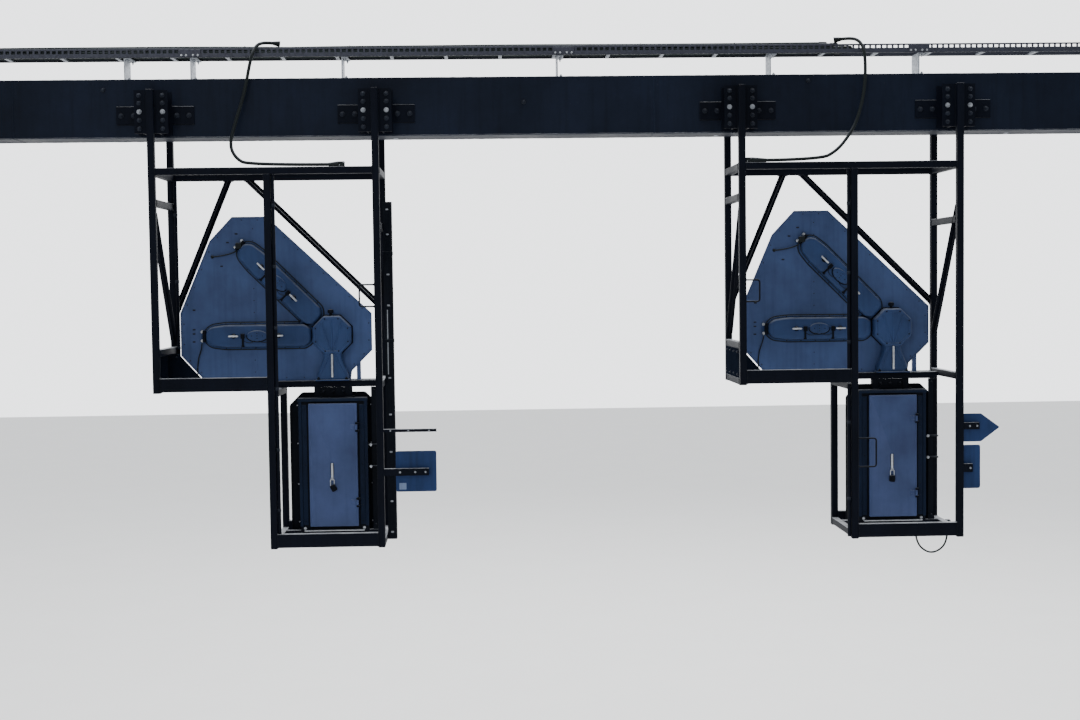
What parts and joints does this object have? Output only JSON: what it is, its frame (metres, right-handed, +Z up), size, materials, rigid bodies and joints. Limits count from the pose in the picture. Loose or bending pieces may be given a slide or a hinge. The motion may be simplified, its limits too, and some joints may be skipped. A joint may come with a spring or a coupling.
{
  "type": "railway signal gantry",
  "caption": "Portal gantry with round columns, a box boom and a cable tray, carrying hanging cages with route indicators and hooded signal heads that open at the back.",
  "frame": {"origin": "ground level, midway between the columns under the boom's centre line", "axes": "+X along the boom, +Y the way the lenses face, +Z up"},
  "size_m": [14.72, 1.14, 7.682],
  "materials": {
    "structure_paint": "satin dark blue-black paint with dust and rust marks",
    "cage_paint": "dark paint, worn at the edges",
    "galvanised": "dull galvanised steel",
    "cable_sheath": "matte black cable sheath",
    "signal_grey": "weathered blue-grey paint",
    "signal_black": "matte black paint",
    "lens_glass": "clear smooth glass",
    "bright_steel": "zinc-plated steel",
    "lamp_casting": "grey cast lamp case",
    "sign_back": "weathered blue-grey sheet"
  },
  "bodies": {
    "gantry_frame": {"boom_beam": "structure_paint", "boom_end_plates": "structure_paint", "boom_seat_plates": "structure_paint", "cable_glands": "cable_sheath", "cable_riser": "galvanised", "cage_braces": "cage_paint", "column_cap_plates": "structure_paint", "door_hinges": "signal_black", "grab_loops": "cage_paint", "hanger_brackets": "cage_paint", "head_backboards": "signal_black", "indicator_hoods": "signal_black", "lamp_units": "lamp_casting", "left_base_plate": "structure_paint", "left_cable_duct": "signal_black", "left_cage_posts": "cage_paint", "left_cage_rails": "cage_paint", "left_cage_ties": "cage_paint", "left_column_tube": "structure_paint", "left_drop_cable": "cable_sheath", "left_head_hoods": "signal_black", "left_head_housing": "signal_black", "left_indicator_arms": "signal_grey", "left_indicator_board": "signal_grey", "left_indicator_pivot": "signal_grey", "right_base_plate": "structure_paint", "right_cage_posts": "cage_paint", "right_cage_rails": "cage_paint", "right_cage_ties": "cage_paint", "right_column_tube": "structure_paint", "right_drop_cable": "cable_sheath", "right_head_hoods": "signal_black", "right_head_housing": "signal_black", "right_indicator_arms": "signal_grey", "right_indicator_board": "signal_grey", "right_indicator_pivot": "signal_grey", "right_slack_cable": "cable_sheath", "sign_channels": "cage_paint", "sign_plates": "sign_back", "signal_lenses": "lens_glass", "tray_cables": "cable_sheath", "tray_rungs": "galvanised", "tray_side_rails": "galvanised", "tray_stub_posts": "galvanised"},
    "left_door": {"left_head_door": "signal_grey", "left_door_hasp": "bright_steel"},
    "right_door": {"right_head_door": "signal_grey", "right_door_hasp": "bright_steel"}
  },
  "joints": [
    {"name": "left_door_hinge", "type": "hinge", "parent": "gantry_frame", "child": "left_door", "pos_m": [-1.535, 0.065, 4.515], "axis": [0, 0, 1], "range_deg": [0, 110]},
    {"name": "right_door_hinge", "type": "hinge", "parent": "gantry_frame", "child": "right_door", "pos_m": [2.719, 0.065, 4.515], "axis": [0, 0, 1], "range_deg": [0, 110]}
  ]
}
